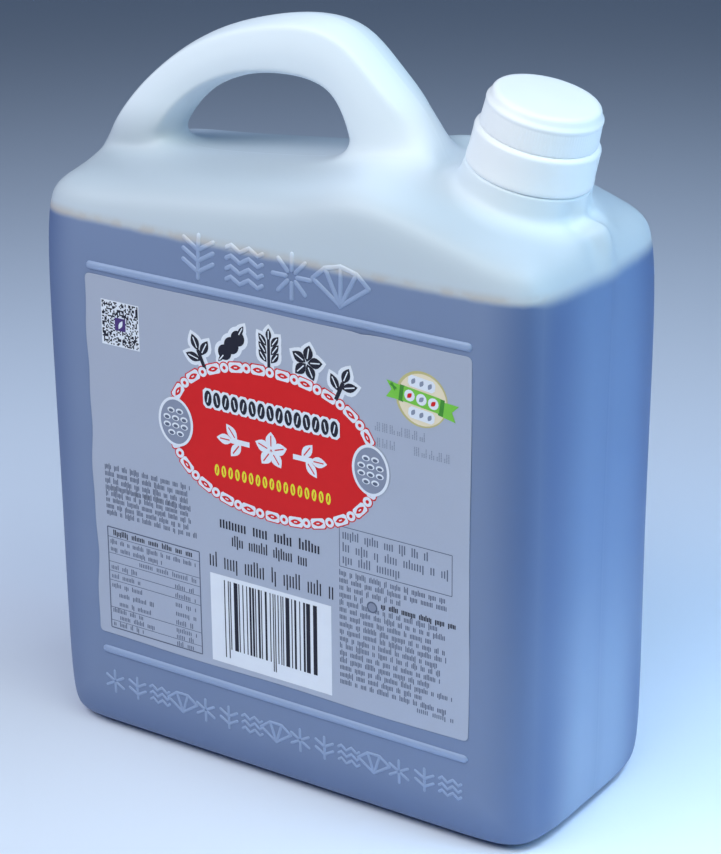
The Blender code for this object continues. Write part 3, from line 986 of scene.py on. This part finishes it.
def leaf(length, width):
    """A pointed oval about its middle, along x."""
    lower = [(length * (k / 6 - 0.5), -width / 2 * math.sin(math.pi * k / 6)) for k in range(6)]
    return lower + [(-x, -z) for x, z in lower]


def spaced(count, pitch, middle=0.0):
    """Even places about a middle."""
    return [middle + (k - (count - 1) / 2) * pitch for k in range(count)]


def wide_block(name, x0, x1, z0, z1, layer):
    """A large rectangle of ink in cells, so that it follows the film."""
    across = max(1, math.ceil((x1 - x0) / INK_STEP))
    up = max(1, math.ceil((z1 - z0) / INK_STEP))
    plate = plates[name]
    columns = [x0 + (x1 - x0) * i / across for i in range(across + 1)]
    rows = []
    for j in range(up + 1):
        z = z0 + (z1 - z0) * j / up
        rows.append(ring(plate, [on_label(x, z, layer * LAYER) for x in columns]))
    for lower, upper in zip(rows, rows[1:]):
        for i in range(across):
            plate.faces.new((lower[i], lower[i + 1], upper[i + 1], upper[i]))


# A motif is a list of (outline maker, its length and width, x, z, degrees)
SPRIG = [(block, (1.1, 5.4), 0, -2.0, 0), (leaf, (5.0, 2.5), -2.2, -0.6, 142)]
SPRIG += [(leaf, (5.0, 2.5), 2.2, 0.6, 38), (leaf, (4.8, 2.6), 0, 2.8, 90)]
POD = [(disc, (2.1, 2.1), -2.5, -1.6, 0), (disc, (2.3, 2.3), 0, 0.2, 0), (disc, (2.1, 2.1), 2.4, 2.1, 0)]
POD += [(leaf, (3.6, 1.4), 3.7, 4.0, 50), (leaf, (3.2, 1.2), -3.8, -3.0, 40)]
EAR = [(block, (0.9, 8.4), 0, -0.6, 0), (leaf, (3.6, 1.8), 0, 4.2, 90)]
for step in range(3):
    for side in (-1, 1):
        EAR.append((leaf, (3.9, 1.9), side * 1.9, step * 2.2 - 1.7, 90 - side * 38))
BLOSSOM = []
for degrees in range(18, 360, 72):
    turn = math.radians(degrees)
    BLOSSOM.append((leaf, (4.6, 3.0), 2.6 * math.cos(turn), 2.6 * math.sin(turn), degrees))

# The shapes of a motif overlap, so each lies a little above the last, and the veins of the leaves above all
SHAPE_LAYER = 0.12
VEIN_LAYER = 1.2
VEIN_SHARE = 0.62
VEIN_WIDTH = 0.32


def stamp(name, motif, x, z, degrees, size, grow, layer, vein=None):
    """Prints a motif at (x, z), grown by an edge all round, with veins in its leaves if an ink is given."""
    for step, (maker, lengths, at_x, at_z, turned_by) in enumerate(motif):
        twice = 1 if maker is disc else 2
        outline = maker(*(length + grow * twice for length in lengths))
        shape = placed(outline, at_x, at_z, turned_by)
        ink(name, shape, x, z, layer + step * SHAPE_LAYER, degrees, size)
        if vein and maker is leaf:
            line = placed(block(lengths[0] * VEIN_SHARE, VEIN_WIDTH), at_x, at_z, turned_by)
            ink(vein, line, x, z, layer + VEIN_LAYER, degrees, size)


# The red field: a soft-cornered oval with a border of white beads and lozenges, each in a thin red rim
OVAL_X = 0.8
OVAL_Z = 104.7
OVAL_HALF = (32.2, 20.2)
OVAL_POWER = 2.25
OVAL_SIDES = 96
OVAL_RINGS = 8
BORDER_SHARE = 1.035
BORDER_STEPS = 720
BORDER_UNITS = 46


def oval_point(share, turn):
    """A point of the oval at a share of its size."""
    c, s = math.cos(turn), math.sin(turn)
    x = math.copysign(abs(c) ** (2 / OVAL_POWER), c) * OVAL_HALF[0] * share
    z = math.copysign(abs(s) ** (2 / OVAL_POWER), s) * OVAL_HALF[1] * share
    return OVAL_X + x, OVAL_Z + z


def border_places():
    """Even places along the border, each (x, z, degrees) with the way that the border runs there."""
    walk = [oval_point(BORDER_SHARE, 2 * math.pi * n / BORDER_STEPS) for n in range(BORDER_STEPS + 1)]
    lengths = [math.dist(a, b) for a, b in zip(walk, walk[1:])]
    pitch = sum(lengths) / BORDER_UNITS
    places = []
    gone = 0.0
    for a, b, length in zip(walk, walk[1:], lengths):
        gone += length
        if gone >= pitch * (len(places) + 0.5):
            places.append((*a, math.degrees(math.atan2(b[1] - a[1], b[0] - a[0]))))
    return places


red_plate = plates["red"]
red_rings = []
for k in range(OVAL_RINGS):
    share = 1 - k / OVAL_RINGS
    points = [on_label(*oval_point(share, turn), LAYER) for turn in even_turns(OVAL_SIDES)]
    red_rings.append(ring(red_plate, points))
bridge(red_plate, red_rings)
red_plate.faces.new(red_rings[-1])

for k, (x, z, degrees) in enumerate(border_places()):
    if k % 2:
        ink("red", disc(1.75, 1.75), x, z, 2.0)
        ink("white", disc(1.42, 1.42), x, z, 3.0)
        ink("red", disc(0.55, 0.55, 10), x, z, 4.0)
    else:
        ink("red", block(5.2, 3.5, 0.5), x, z, 1.6, degrees)
        ink("white", block(4.6, 2.9, 0.5), x, z, 2.6, degrees)
        ink("red", leaf(3.6, 1.5), x, z, 3.6, degrees)
        ink("white", block(1.0, 0.36), x, z, 4.6, degrees)

# A medallion at each end of the oval: rows of seeds on grey inside a white ring
MEDALS = ((-31.2, OVAL_Z), (32.8, OVAL_Z))
SEED_ROWS = ((2, 3.3), (3, 1.1), (3, -1.1), (2, -3.3))
SEED_PITCH = 2.9
SEED_SHADE = 0.15
for medal_x, medal_z in MEDALS:
    ink("white", disc(5.9, 7.3, 40), medal_x, medal_z, 5.0)
    ink("pale_grey", disc(5.1, 6.5, 40), medal_x, medal_z, 6.0)
    for count, z in SEED_ROWS:
        for x in spaced(count, SEED_PITCH, medal_x):
            ink("white", disc(1.25, 0.85, 12), x, medal_z + z, 7.0)
            ink("grey", disc(0.8, 0.5, 12), x, medal_z + z - SEED_SHADE, 8.0)

# Five black ornaments on white fan out over the oval. Inside it are a row of black beans on white, a white
# blossom between two lying sprigs, and a row of small yellow beans
SPRAY = [(-22.6, 126.7, 24, SPRIG), (-11.6, 130.6, 10, POD), (0.6, 131.8, 0, EAR)]
SPRAY += [(12.8, 130.8, -10, BLOSSOM), (24.0, 126.9, -24, SPRIG)]
SPRAY_SIZE = 1.05
SPRAY_EDGE = 1.1
for x, z, degrees, motif in SPRAY:
    stamp("white", motif, x, z, degrees, SPRAY_SIZE, SPRAY_EDGE, 1)
    stamp("black", motif, x, z, degrees, SPRAY_SIZE, 0.0, 3, "white")

BEAN_Z = 114.0
BEANS = 15
BEAN_PITCH = 2.95
for k, x in enumerate(spaced(BEANS, BEAN_PITCH, OVAL_X)):
    ink("white", block(BEAN_PITCH + 0.5, 5.8, 0.9), x, BEAN_Z, 5.0 + (k % 2) * 0.3)
    ink("black", disc(1.24, 2.3, 14), x, BEAN_Z, 6.2)
    ink("white", block(0.36, 2.5), x, BEAN_Z, 7.2, 12 if k % 2 else -12)

LYING_Z = 103.2
LYING_SIZE = 1.08
LYING_EDGE = 0.15
for x, motif, degrees in ((-11.6, SPRIG, 90), (0.8, BLOSSOM, 0), (13.2, SPRIG, -90)):
    stamp("white", motif, x, LYING_Z, degrees, LYING_SIZE, LYING_EDGE, 2, "red")

YELLOW_Z = 93.4
YELLOW_BEANS = 17
YELLOW_PITCH = 2.3
for k, x in enumerate(spaced(YELLOW_BEANS, YELLOW_PITCH, OVAL_X)):
    ink("yellow", disc(0.8, 1.75, 12), x, YELLOW_Z, 2.0)
    ink("red", block(0.34, 1.9), x, YELLOW_Z, 3.0, 9 if k % 2 else -9)

# The fine print: rows of short upright strokes in groups. A print is (height, pitch, weight), and one seed
# draws them all
HEAD_PRINT = (3.3, 1.02, 0.56)
SECOND_PRINT = (3.3, 0.82, 0.42)
TALL_PRINT = (4.6, 1.0, 0.42)
NOTE_PRINT = (1.75, 0.47, 0.28)
SMALL_PRINT = (1.65, 0.47, 0.27)
TABLE_HEAD = (1.7, 0.6, 0.36)
TABLE_PRINT = (1.5, 0.5, 0.26)
TABLE_WIDE = (1.5, 0.55, 0.27)
SHORT_PRINT = (1.6, 0.62, 0.28)
BOX_HEAD = (2.6, 0.78, 0.36)
BOX_PRINT = (2.7, 0.84, 0.36)
RIGHT_PRINT = (1.7, 0.48, 0.27)
RING_PRINT = (1.7, 0.48, 0.28)
HEAVY_PRINT = (1.7, 0.5, 0.34)
GROUP = (2, 9)
HEIGHTS = (0.72, 0.72, 0.76, 0.80, 1.0)
TAIL = -0.22
TAIL_CHANCE = 0.1
draw = random.Random(18)


def stroke_row(name, x0, x1, z, print_size, ragged=0.0):
    """A row of strokes on the line z, from x0 to x1 or, if ragged, up to that much less."""
    tall, pitch, weight = print_size
    x = x0
    end = x1 - draw.random() * ragged
    left = draw.randint(*GROUP)
    while x < end:
        if not left:
            x += pitch * 2
            left = draw.randint(*GROUP)
            continue
        high = tall * draw.choice(HEIGHTS)
        low = TAIL * tall if draw.random() < TAIL_CHANCE else 0.0
        ink(name, block(weight, high - low), x, z + (high + low) / 2, 1.0)
        x += pitch
        left -= 1


stroke_row("black", -16.9, 16.7, 76.3, HEAD_PRINT)
stroke_row("black", -13.0, 11.8, 71.6, SECOND_PRINT)
stroke_row("black", -20.8, 20.7, 63.9, TALL_PRINT)

for k in range(4):
    stroke_row("grey", -57.0, -25.4, 85.0 - 2.15 * k, NOTE_PRINT, 3.0)
for k in range(5):
    stroke_row("grey", -57.0, -25.2, 78.8 - 1.98 * k, SMALL_PRINT, 4.0)


def frame_line(name, x0, z0, x1, z1, weight, layer=1.0):
    """A straight printed line, in steps short enough to follow the film."""
    steps = max(1, math.ceil(math.dist((x0, z0), (x1, z1)) / INK_STEP))
    degrees = math.degrees(math.atan2(z1 - z0, x1 - x0))
    part = block(math.dist((x0, z0), (x1, z1)) / steps, weight)
    for k in range(steps):
        share = (k + 0.5) / steps
        ink(name, part, x0 + (x1 - x0) * share, z0 + (z1 - z0) * share, layer, degrees)


def frame_box(name, x0, x1, z0, z1, weight):
    for z in (z0, z1):
        frame_line(name, x0, z, x1, z, weight)
    for x in (x0, x1):
        frame_line(name, x, z0, x, z1, weight)


# The ruled table at the left foot: a heading, and rows of strokes with shorter ones at their right side
TABLE = (-57.2, -24.6, 35.2, 67.0)
TABLE_RULES = (64.0, 58.9, 56.2, 53.3, 50.4, 41.8, 37.6)
TABLE_LINES = (53.9, 51.1, 48.2, 45.4, 42.6, 40.2, 38.2, 35.9)
SET_IN = (3, 4, 6)
frame_box("grey", *TABLE, 0.34)
for z in TABLE_RULES:
    frame_line("grey", TABLE[0], z, TABLE[1], z, 0.16)
stroke_row("black", -55.0, -27.0, 64.7, TABLE_HEAD)
stroke_row("grey", -56.2, -26.0, 61.9, TABLE_PRINT)
stroke_row("grey", -56.2, -38.0, 59.6, TABLE_PRINT)
stroke_row("grey", -46.0, -26.0, 56.9, SHORT_PRINT)
for k, z in enumerate(TABLE_LINES):
    inset = 2.4 if k in SET_IN else 0.0
    stroke_row("grey", -56.2 + inset, -44.5 + inset * 2, z, TABLE_WIDE, 3.0)
    stroke_row("grey", -33.4, -26.0, z - 0.4, SHORT_PRINT)

# The bar field: white, with upright bars of mixed widths, some longer in the middle and at the ends
FIELD = (-21.0, 19.7, 34.6, 61.8)
BARS_FROM = -16.3
BARS_TO = 15.4
BAR_TOP = 60.5
BAR_FOOT = 39.4
LONG_FOOT = 36.6
LONG_BARS = (0, 1, 14, 15)
LONG_FROM = 14.0
THIN = 0.33
wide_block("white", *FIELD, 1.0)
x = BARS_FROM
bar = 0
while x < BARS_TO:
    width = draw.choice((THIN, THIN, 0.66, 0.99, 1.3))
    long = bar in LONG_BARS or x > LONG_FROM
    width = THIN if long else width
    middle_x = x + width / 2
    frame_line("black", middle_x, LONG_FOOT if long else BAR_FOOT, middle_x, BAR_TOP, width, 2.0)
    x += width + draw.choice((THIN, THIN, 0.66, 0.99))
    bar += 1

# The right side: a box with three rows, sixteen rows of fine print, one of them with a ring and a heavier
# end, and two rows of dots
RIGHT_X = 22.6
RIGHT_TOP = 72.0
RIGHT_PITCH = 2.18
RING_ROW = 3
RING_X = 33.0
frame_box("grey", RIGHT_X, 58.0, 74.6, 86.4, 0.2)
stroke_row("grey", 23.8, 51.0, 82.9, BOX_HEAD)
stroke_row("grey", 23.8, 56.6, 79.2, BOX_PRINT)
stroke_row("grey", 23.8, 42.0, 75.7, BOX_PRINT)
for k in range(16):
    z = RIGHT_TOP - RIGHT_PITCH * k
    if k == RING_ROW:
        ink("grey", disc(1.7, 1.7), RING_X, z - 0.5, 1.0)
        ink("pale_grey", disc(1.25, 1.25), RING_X, z - 0.5, 2.0)
        stroke_row("grey", RIGHT_X, 30.0, z, RING_PRINT)
        stroke_row("black", 36.0, 59.4, z - 0.2, HEAVY_PRINT)
    else:
        stroke_row("grey", RIGHT_X, 59.0, z, RIGHT_PRINT, 22.0 if k % 3 == 2 else 9.0)
stroke_row("grey", 47.4, 59.0, 37.4, SHORT_PRINT)

DOT = disc(0.19, 0.19, 6)
DOT_PITCH = 0.43
DOT_COLUMN = 0.62
DOT_GROUP = 2.3
for x0, x1, z in ((34.3, 51.4, 116.6), (34.3, 43.4, 112.2), (46.4, 59.8, 112.2)):
    for k in range(int((x1 - x0) / DOT_GROUP)):
        for column in range(3):
            x = x0 + k * DOT_GROUP + column * DOT_COLUMN
            for dot in range(draw.choice((3, 6, 6))):
                ink("pale_grey", DOT, x, z + dot * DOT_PITCH, 1.0)

# The square of modules at the top left, with a plain leaf on a dark patch in its middle
SQUARE = (-56.0, -42.9, 122.8, 135.9)
SQUARE_EDGE = 0.3
MODULES = 31
MODULE = 12.5 / MODULES
MODULE_CHANCE = 0.46
PATCH = 4
wide_block("white", *SQUARE, 1.0)
for i in range(MODULES):
    for j in range(MODULES):
        in_patch = max(abs(i - MODULES // 2), abs(j - MODULES // 2)) <= PATCH
        if not in_patch and draw.random() < MODULE_CHANCE:
            x = SQUARE[0] + SQUARE_EDGE + (i + 0.5) * MODULE
            z = SQUARE[2] + SQUARE_EDGE + (j + 0.5) * MODULE
            ink("black", block(MODULE, MODULE), x, z, 2.0)
ink("purple", block(3.7, 3.7), -49.45, 129.35, 2.0)
ink("white", leaf(2.9, 1.2), -49.3, 129.3, 3.0, 62)

# The badge at the top right: a cream disc with a gold rim, and a green ribbon folded across it between two
# white plates, with seeds on the ribbon and leaves on the plates
BADGE_X = 48.5
BADGE_Z = 128.0
RIBBON_LEAN = -7
ink("gold", disc(7.9, 7.7, 40), BADGE_X, BADGE_Z, 1.0)
ink("cream", disc(7.3, 7.1, 40), BADGE_X + 0.2, BADGE_Z - 0.1, 2.0)
for side in (-1, 1):
    tail = [(0, -2.0), (5.0 * side, -2.4), (3.6 * side, 0.1), (5.4 * side, 2.3), (0, 2.0)][::side]
    ink("green", tail, BADGE_X + 5.6 * side, BADGE_Z - 0.4 - 0.9 * side, 2.5, RIBBON_LEAN)
    ink("dark_green", block(1.5, 4.6), BADGE_X + 6.0 * side, BADGE_Z - 0.2 - 0.8 * side, 3.2, RIBBON_LEAN)
ink("green", block(11.2, 4.3, 0.3), BADGE_X, BADGE_Z, 4.0, RIBBON_LEAN)
for up, width in ((4.3, 8.2), (-4.3, 8.0)):
    ink("white", block(width, 3.2, 0.8), BADGE_X, BADGE_Z + up, 3.0, -6)
    for k in (-1, 0, 1):
        ink("pale_grey", leaf(2.0, 1.2), BADGE_X + k * 2.5, BADGE_Z + up - k * 0.3, 4.0, 60)
for across, seed in ((-3.6, "red"), (0.0, "pale_grey"), (3.6, "red")):
    z = BADGE_Z - across * 0.12
    ink("white", disc(1.6, 1.6, 14), BADGE_X + across, z, 5.0)
    ink(seed, leaf(2.0, 1.2), BADGE_X + across, z, 6.0, 45)
for degrees in (112, 138, 160):
    ink("dark_green", leaf(2.8, 0.6), BADGE_X - 8.6, BADGE_Z + 2.0, 2.6, degrees)

for name, plate in plates.items():
    printed = make_piece("print_" + name, plate, new_ink("ink_" + name, *INKS[name]))

# The studio: a wide pale sheet that curves up all round, with a painted pool of light round the bottle that
# goes into painted shade further off, six square softboxes, a dim blue room, and the camera where the
# photograph was taken from.
FLOOR_RADII = (0.3, 0.9, 1.7)
FLOOR_RISE = 1.2
FLOOR_SIDES = 96
PAINTED_POOL_INNER = 0.20
PAINTED_POOL_OUTER = 0.95
PAINTED_SHADE_FAR_TONE = (0.40, 0.42, 0.46)
FOOT_SPREAD = math.radians(50)
ROOM_COLOUR = (0.10, 0.40, 1.0, 1.0)
ROOM_STRENGTH = 0.24
CAMERA_PLACE = (0.38783, -0.57524, 0.37697)
CAMERA_LOOK = (-0.514, 0.772, -0.374)
CAMERA_ROLL = math.radians(-0.36)
CAMERA_LENS = 112.46
SENSOR = 36.0


def floor_sheet():
    bm = bmesh.new()
    profile = [(radius, 0.0) for radius in FLOOR_RADII]
    flat = FLOOR_RADII[-1]
    for degrees in range(10, 91, 10):
        turn = math.radians(degrees)
        profile.append((flat + FLOOR_RISE * math.sin(turn), FLOOR_RISE * (1 - math.cos(turn))))
    profile.append((flat + FLOOR_RISE, FLOOR_RISE * 2))
    turns = even_turns(FLOOR_SIDES)
    rings = [ring(bm, [(r * math.cos(t), r * math.sin(t), z) for t in turns]) for r, z in profile]
    bridge(bm, rings)
    bm.faces.new(rings[0])
    bmesh.ops.recalc_face_normals(bm, faces=bm.faces)
    return bm


pale_sheet, tree, shader = new_finish("pale_sheet")
# The sheet's colour: a painted pool of light round the bottle, with a little random tone, going into
# painted shade further off
where = add_node(tree, "ShaderNodeTexCoord").outputs["Object"]
painted_pool_tone = tint(tree, noise(tree, 3.0, 2.0), (0.775, 0.825, 0.93), (0.805, 0.855, 0.96))
reach = add_node(tree, "ShaderNodeVectorMath", {0: where}, operation="LENGTH").outputs["Value"]
painted_pool_falloff = fade(tree, reach, PAINTED_POOL_INNER, PAINTED_POOL_OUTER)
join(tree, shader, {"Base Color": tint(tree, painted_pool_falloff, painted_pool_tone, PAINTED_SHADE_FAR_TONE)})
shader.inputs["Roughness"].default_value = 0.8
floor = put_mesh("floor_sheet", floor_sheet())
floor.data.materials.append(pale_sheet)


def turned_to(place, way):
    """Where a lamp or camera stands when it looks along a way from its place."""
    return Matrix.Translation(place) @ way.to_track_quat("-Z", "Y").to_matrix().to_4x4()


def softbox(name, place, target, width, watts, colour, spread=math.pi):
    """A square softbox that shines from its place towards a target, wide or in a narrow cone."""
    lamp = bpy.data.lights.new(name, "AREA")
    lamp.shape = "SQUARE"
    lamp.size = width
    lamp.energy = watts
    lamp.color = colour
    lamp.spread = spread
    put_in(name, lamp).matrix_world = turned_to(place, Vector(target) - Vector(place))


softbox("key_box", (0.45, -0.25, 0.80), (0, 0, 0.08), 0.50, 2.3, (0.92, 1.0, 0.94))
softbox("front_box", (-0.35, -0.50, 0.70), (0, 0, 0.06), 0.50, 3.7, (0.83, 0.85, 1.0))
softbox("low_front_box", (0.05, -0.55, 0.70), (0, 0, 0.08), 0.40, 1.8, (1.0, 1.0, 0.70))
softbox("window_box", (0.80, 0.10, 0.42), (0.05, 0, 0.08), 0.40, 2.2, (0.48, 0.81, 1.0))
softbox("back_box", (0.40, 0.35, 0.75), (0.05, 0, 0.06), 0.40, 1.5, (0.71, 0.83, 1.0))
softbox("foot_box", (0.34, 0.07, 0.55), (0.24, 0.07, 0.0), 0.20, 0.32, (0.44, 0.70, 1.0), FOOT_SPREAD)

world = bpy.data.worlds.new("studio")
world.use_nodes = True
world.node_tree.nodes["Background"].inputs["Color"].default_value = ROOM_COLOUR
world.node_tree.nodes["Background"].inputs["Strength"].default_value = ROOM_STRENGTH
bpy.context.scene.world = world
bpy.context.scene.view_settings.view_transform = "Standard"

lens = bpy.data.cameras.new("camera")
lens.lens = CAMERA_LENS
lens.sensor_width = SENSOR
camera = put_in("camera", lens)
rolled = Matrix.Rotation(CAMERA_ROLL, 4, "Z")
camera.matrix_world = turned_to(CAMERA_PLACE, Vector(CAMERA_LOOK)) @ rolled
bpy.context.scene.camera = camera
